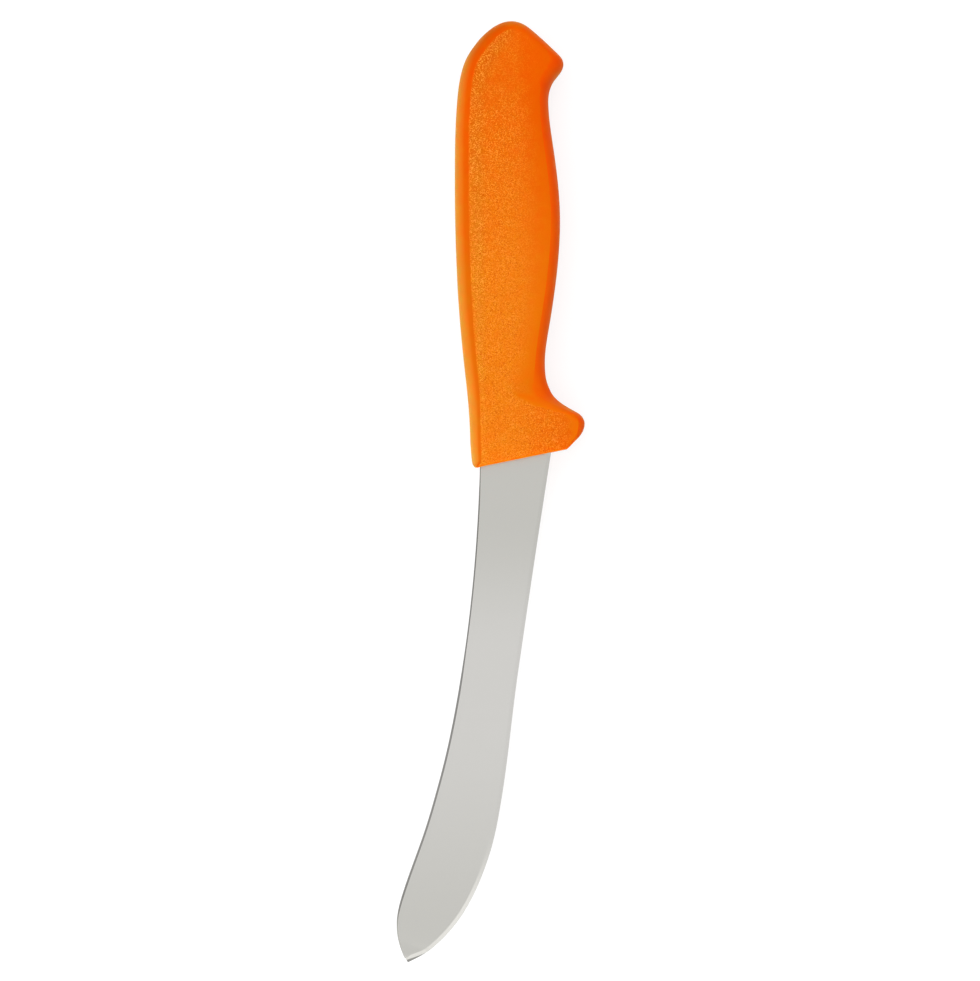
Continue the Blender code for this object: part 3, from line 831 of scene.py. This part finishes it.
def make_pieces(datum):
    """The blade with its tang, and the handle that is moulded round it."""
    blade = blank_mesh("blade_blank", blade_sections(), datum)
    handle = handle_mesh("moulded_handle", datum)
    slot = blank_mesh("slot", blade_sections(MOULDED_GAP, SLOT_STATIONS), datum)
    middle = sum(tang_sides()[:2]) / 2
    for depth in hole_depths():
        place = Vector((middle, depth, 0.0))
        cut(blade, post_mesh("hole", place, TANG_HOLE_DIAMETER, datum))
        cut(slot, post_mesh("peg", place, TANG_HOLE_DIAMETER - 2 * MOULDED_GAP, datum))
    cut(handle, slot)
    finish_surface(blade, "blade", BLADE_CRISP_ANGLE)
    finish_surface(handle, "handle", HANDLE_CRISP_ANGLE)
    return blade, handle


def add_node(tree, kind, **values):
    """A new node of a kind, with its settings."""
    node = tree.nodes.new(kind)
    for name, value in values.items():
        setattr(node, name, value)
    return node


def set_inputs(node, values):
    """Set a node's inputs, given by name."""
    for name, value in values.items():
        node.inputs[name].default_value = value


def new_material(name):
    """A material, its node tree and its shader."""
    material = bpy.data.materials.new(name)
    material.use_nodes = True
    return material, material.node_tree, material.node_tree.nodes["Principled BSDF"]


def map_range(tree, value, before, after=(0.0, 1.0), kind="SMOOTHSTEP"):
    """A value carried from one range to another, and held inside it."""
    node = add_node(tree, "ShaderNodeMapRange", interpolation_type=kind)
    node.inputs["From Min"].default_value, node.inputs["From Max"].default_value = before
    node.inputs["To Min"].default_value, node.inputs["To Max"].default_value = after
    tree.links.new(value, node.inputs["Value"])
    return node.outputs["Result"]


def combined(tree, operation, first, second):
    """Two values, or a value and a number, put together."""
    node = add_node(tree, "ShaderNodeMath", operation=operation)
    tree.links.new(first, node.inputs[0])
    if isinstance(second, float):
        node.inputs[1].default_value = second
    else:
        tree.links.new(second, node.inputs[1])
    return node.outputs[0]


def mixed(tree, share, first, second):
    """A colour between two, each given as a colour or as another mix."""
    node = add_node(tree, "ShaderNodeMix", data_type="RGBA")
    tree.links.new(share, node.inputs["Factor"])
    for name, colour in (("A", first), ("B", second)):
        if isinstance(colour, tuple):
            node.inputs[name].default_value = colour + (1.0,)
        else:
            tree.links.new(colour, node.inputs[name])
    return node.outputs["Result"]


def separated(tree, vector):
    """The three parts of a vector, by name."""
    node = add_node(tree, "ShaderNodeSeparateXYZ")
    tree.links.new(vector, node.inputs[0])
    return node.outputs


def noise(tree, place, detail, scale=1.0):
    """A soft noise between 0 and 1."""
    node = add_node(tree, "ShaderNodeTexNoise")
    set_inputs(node, {"Scale": scale, "Detail": detail})
    tree.links.new(place, node.inputs["Vector"])
    return node.outputs["Fac"]


def pebbles(tree, place):
    """One random value between 0 and 1 for each pebble of the grain."""
    cells = add_node(tree, "ShaderNodeTexVoronoi")
    cells.inputs["Scale"].default_value = PEBBLE_SCALE
    tree.links.new(place, cells.inputs["Vector"])
    parts = add_node(tree, "ShaderNodeSeparateColor")
    tree.links.new(cells.outputs["Color"], parts.inputs[0])
    return parts.outputs["Red"]


def add_relief(tree, shader, height, strength, distance):
    """Give a surface relief by a height between 0 and 1."""
    bump = add_node(tree, "ShaderNodeBump")
    set_inputs(bump, {"Strength": strength, "Distance": distance})
    tree.links.new(height, bump.inputs["Height"])
    tree.links.new(bump.outputs["Normal"], shader.inputs["Normal"])


def from_datum(origin, span):
    """A range of places that is given from the datum, in the frame."""
    return origin + span[0], origin + span[1]


def crease_nearness(tree, spot, datum):
    """1 along the crease at the back, which bends with the butt, and 0 away from it: where the
    grain stays whole, its glints are stronger and a golden highlight is painted.
    """
    turned = map_range(tree, spot["Y"], from_datum(datum.y, BUTT_BEND_SPAN), kind="LINEAR")
    bent = combined(tree, "MULTIPLY", combined(tree, "MULTIPLY", turned, turned), BUTT_BEND_SHIFT)
    return map_range(tree, combined(tree, "SUBTRACT", spot["X"], bent),
                     from_datum(datum.x, CREASE_GRAIN_AND_HIGHLIGHT_SPAN))


def grain_strength(tree, spot, cloud, creased, datum):
    """How strong the grain is at each place of the flat side."""
    guarded = map_range(tree, spot["Y"], from_datum(datum.y, GUARD_GRAIN_SPAN))
    reached = combined(tree, "SUBTRACT", spot["X"],
                       combined(tree, "MULTIPLY", guarded, GUARD_GRAIN_SHIFT))
    finger_faded = map_range(tree, reached, from_datum(datum.x, GRIP_GRAIN_SPAN), (FADED_GRAIN, 1.0))
    butt_faded = map_range(tree, spot["Y"], from_datum(datum.y, BUTT_GRAIN_SPAN), (1.0, BUTT_GRAIN))
    patchy = map_range(tree, cloud, CLOUD_EDGES, (CLOUDED_GRAIN, 1.0))
    return combined(tree, "MULTIPLY", combined(tree, "MULTIPLY", finger_faded, patchy),
                    combined(tree, "MAXIMUM", butt_faded, creased))


def flat_colour(tree, spot, cloud, creased, grain, pebble, datum):
    """The grained flat side: painted shade towards the butt and towards the fingers, a golden
    painted highlight along the crease, and dark and pale pebbles scattered over it, the pale ones
    partly painted glints that are stronger along the crease."""
    tone = map_range(tree, cloud, CLOUD_TONE_EDGES, CLOUD_TONES, "LINEAR")
    additions = (
        # A painted highlight along the crease.
        combined(tree, "MULTIPLY", creased, CREASE_HIGHLIGHT_TONE),
        # Painted shade towards the butt, then towards the fingers.
        map_range(tree, spot["Y"], from_datum(datum.y, BUTT_SHADE_SPAN), (0.0, BUTT_SHADE_TONE)),
        map_range(tree, spot["X"], from_datum(datum.x, FINGER_SHADE_SPAN), (0.0, FINGER_SHADE_TONE), "LINEAR"),
    )
    for addition in additions:
        tone = combined(tree, "ADD", tone, addition)
    # Along the crease the flat side takes golden colours, a painted highlight.
    colour = mixed(tree, creased, mixed(tree, tone, *FLAT_COLOURS), mixed(tree, tone, *CREASE_HIGHLIGHT_COLOURS))
    dark = combined(tree, "MULTIPLY", grain,
                    map_range(tree, pebble, DARK_PEBBLES, (0.0, DARK_PEBBLE_SHARE)))
    colour = mixed(tree, dark, colour, DARK_PEBBLE_COLOUR)
    # Pale pebbles, partly the grain's own tone and partly painted glints, which are stronger along the
    # crease.
    light = combined(tree, "MULTIPLY", grain,
                     map_range(tree, pebble, GLINT_PEBBLES, (0.0, GLINT_PEBBLE_SHARE)))
    light = combined(tree, "MULTIPLY", light, map_range(tree, creased, (0.0, 1.0), CREASE_GLINT_GAIN))
    return mixed(tree, light, colour, GLINT_PEBBLE_COLOUR)


def wall_colour(tree, spot, facing, datum):
    """The smooth wall, with light and shade painted by the way it faces and how far back it is:
    painted shade towards the butt, where it faces the fingers and on its back, and a pale painted
    highlight on the rim of its back. The front face has a colour of its own.
    """
    rear_span = from_datum(datum.y, REAR_SHADE_SPAN)
    # Painted shade: the wall darkens towards the butt.
    rear = map_range(tree, spot["Y"], rear_span, kind="LINEAR")
    # The painted shade of the finger side reaches into the hollow behind the guard.
    hollow_shading = combined(tree, "MULTIPLY",
                        map_range(tree, spot["Y"], rear_span, (HOLLOW_SHADE_FACING, 0.0), "LINEAR"),
                        combined(tree, "MAXIMUM", facing["Y"], 0.0))
    finger_shading = combined(tree, "ADD", facing["X"], hollow_shading)
    # Painted shade where the wall faces the fingers and on its back, and a pale painted highlight on
    # the rim of its back.
    sides = (
        (map_range(tree, finger_shading, FINGER_SHADE_FACING, kind="LINEAR"), FINGER_SHADE_COLOURS),
        (map_range(tree, facing["X"], BACK_SHADE_FACING, kind="LINEAR"), BACK_SHADE_COLOURS),
        (map_range(tree, facing["X"], RIM_HIGHLIGHT_FACING, kind="LINEAR"), RIM_HIGHLIGHT_COLOURS),
    )
    colour = mixed(tree, rear, *WALL_COLOURS)
    for share, colours in sides:
        colour = mixed(tree, share, colour, mixed(tree, rear, *colours))
    front = map_range(tree, facing["Y"], FRONT_FACING, kind="LINEAR")
    return mixed(tree, front, colour, FRONT_COLOUR)


def plastic_material(datum):
    """Orange moulded plastic that takes in a little light: a fine pebbled grain on the flat
    sides and a satin wall, with light and shade painted into the colour of both."""
    material, tree, shader = new_material("orange_moulded_plastic")
    link = tree.links.new
    place = add_node(tree, "ShaderNodeTexCoord").outputs["Object"]
    spot = separated(tree, place)
    facing = separated(tree, add_node(tree, "ShaderNodeNewGeometry").outputs["Normal"])
    cloud = noise(tree, place, CLOUD_DETAIL, CLOUD_SCALE)
    pebble = pebbles(tree, place)
    upright = add_node(tree, "ShaderNodeMath", operation="ABSOLUTE")
    link(facing["Z"], upright.inputs[0])
    flatness = map_range(tree, upright.outputs[0], FLAT_FACING)

    creased = crease_nearness(tree, spot, datum)
    grain = grain_strength(tree, spot, cloud, creased, datum)
    flat = flat_colour(tree, spot, cloud, creased, grain, pebble, datum)
    wall = wall_colour(tree, spot, facing, datum)
    link(mixed(tree, flatness, wall, flat), shader.inputs["Base Color"])
    rough = combined(tree, "MULTIPLY", flatness, grain)
    link(map_range(tree, rough, (0.0, 1.0), PLASTIC_ROUGHNESS), shader.inputs["Roughness"])
    add_relief(tree, shader, combined(tree, "MULTIPLY", pebble, rough), GRAIN_RELIEF, GRAIN_HEIGHT)
    set_inputs(shader, PLASTIC_FINISH)
    return material


def steel_material(datum):
    """Ground stainless steel: satin, with painted shade near the handle and towards the tip, and
    barely visible grinding lines across the blade."""
    material, tree, shader = new_material("ground_steel")
    link = tree.links.new
    place = add_node(tree, "ShaderNodeTexCoord").outputs["Object"]
    along = separated(tree, place)["Y"]
    mapping = add_node(tree, "ShaderNodeMapping")
    mapping.inputs["Scale"].default_value = LINE_SCALE
    link(place, mapping.inputs["Vector"])
    lines = noise(tree, mapping.outputs["Vector"], LINE_DETAIL)
    # Painted light along the blade, brighter away from the handle and from the tip, and painted shade
    # near both.
    bright = combined(tree, "MULTIPLY", map_range(tree, along, from_datum(datum.y, HANDLE_BRIGHTENING)),
                      map_range(tree, along, from_datum(datum.y, TIP_BRIGHTENING)))
    link(mixed(tree, bright, mixed(tree, lines, *SHADED_STEEL_COLOURS), mixed(tree, lines, *LIT_STEEL_COLOURS)),
         shader.inputs["Base Color"])
    link(map_range(tree, lines, (0.0, 1.0), STEEL_ROUGHNESS, "LINEAR"), shader.inputs["Roughness"])
    add_relief(tree, shader, lines, LINE_RELIEF, LINE_HEIGHT)
    shader.inputs["Metallic"].default_value = 1.0
    return material


def floor_material():
    """A pale floor that holds the shadow, and that the camera and reflections see as white."""
    material = bpy.data.materials.new("pale_floor")
    material.use_nodes = True
    tree = material.node_tree
    tree.nodes.clear()
    link = tree.links.new
    rays = add_node(tree, "ShaderNodeLightPath").outputs
    seen = combined(tree, "MAXIMUM", rays["Is Camera Ray"], rays["Is Glossy Ray"])
    seen = combined(tree, "MAXIMUM", seen, rays["Is Transmission Ray"])
    glow = add_node(tree, "ShaderNodeEmission")
    link(combined(tree, "MULTIPLY", seen, FLOOR_GLOW), glow.inputs["Strength"])
    matt = add_node(tree, "ShaderNodeBsdfDiffuse")
    matt.inputs["Color"].default_value = (FLOOR_GREY, FLOOR_GREY, FLOOR_GREY, 1.0)
    both = add_node(tree, "ShaderNodeAddShader")
    link(matt.outputs[0], both.inputs[0])
    link(glow.outputs[0], both.inputs[1])
    out = add_node(tree, "ShaderNodeOutputMaterial")
    link(both.outputs[0], out.inputs["Surface"])
    return material


def make_floor():
    """One large square under the knife."""
    builder = bmesh.new()
    bmesh.ops.create_grid(builder, x_segments=1, y_segments=1, size=FLOOR_SIZE)
    mesh = bpy.data.meshes.new("floor")
    builder.to_mesh(mesh)
    builder.free()
    mesh.materials.append(floor_material())
    floor = add_object("floor", mesh)


def make_world():
    """A soft studio, brighter overhead than at the horizon. Low down its light leans to the
    finger side and the butt, and overhead a little to the back."""
    world = bpy.data.worlds.new("studio")
    world.use_nodes = True
    tree = world.node_tree
    link = tree.links.new
    place = add_node(tree, "ShaderNodeTexCoord").outputs["Generated"]
    strength = add_node(tree, "ShaderNodeMix", data_type="FLOAT")
    link(map_range(tree, separated(tree, place)["Z"], CEILING_RISE), strength.inputs["Factor"])
    for name, level, lean in (("A", HORIZON_LEVEL, HORIZON_LEAN), ("B", CEILING_LEVEL, CEILING_LEAN)):
        side = add_node(tree, "ShaderNodeVectorMath", operation="DOT_PRODUCT")
        side.inputs[1].default_value = lean
        link(place, side.inputs[0])
        link(combined(tree, "ADD", side.outputs["Value"], level), strength.inputs[name])
    background = tree.nodes["Background"]
    link(strength.outputs["Result"], background.inputs["Strength"])
    background.inputs["Color"].default_value = (1.0, 1.0, 1.0, 1.0)
    bpy.context.scene.world = world


def make_lamp(lamp):
    """A soft rectangular lamp that points at its target."""
    light = bpy.data.lights.new(lamp.name, "AREA")
    light.shape = "RECTANGLE"
    light.size, light.size_y = lamp.size
    light.energy = lamp.power
    holder = add_object(lamp.name, light)
    holder.location = lamp.place
    aim = Vector(lamp.target) - Vector(lamp.place)
    holder.rotation_euler = aim.to_track_quat("-Z", "Y").to_euler()
    holder.visible_glossy = lamp.reflected


def make_camera():
    """Straight above, with a long lens, so far off that the knife fills the picture."""
    camera = bpy.data.cameras.new("camera")
    camera.lens = CAMERA_LENS
    camera.sensor_width = CAMERA_SENSOR
    camera.clip_start, camera.clip_end = CAMERA_RANGE
    holder = add_object("camera", camera)
    holder.location = CAMERA_PLACE
    bpy.context.scene.camera = holder


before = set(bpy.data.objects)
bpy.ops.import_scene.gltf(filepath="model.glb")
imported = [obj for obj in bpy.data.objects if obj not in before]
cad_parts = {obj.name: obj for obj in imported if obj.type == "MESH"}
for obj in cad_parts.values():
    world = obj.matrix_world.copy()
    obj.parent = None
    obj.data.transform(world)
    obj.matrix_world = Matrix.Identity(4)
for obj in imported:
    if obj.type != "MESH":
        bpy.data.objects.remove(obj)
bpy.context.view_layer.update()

low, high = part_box("handle")
datum = Vector((low.x + BOW_BACK, high.y - HANDLE_LENGTH, (low.z + high.z) / 2))
blade, handle = make_pieces(datum)
blade.data.materials.clear()
blade.data.materials.append(steel_material(datum))
handle.data.materials.clear()
handle.data.materials.append(plastic_material(datum))
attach(blade, "root")
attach(handle, "root")
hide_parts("blade")
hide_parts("handle")

make_floor()
make_world()
for lamp in LAMPS:
    make_lamp(lamp)
make_camera()
bpy.context.scene.view_settings.view_transform = "Standard"
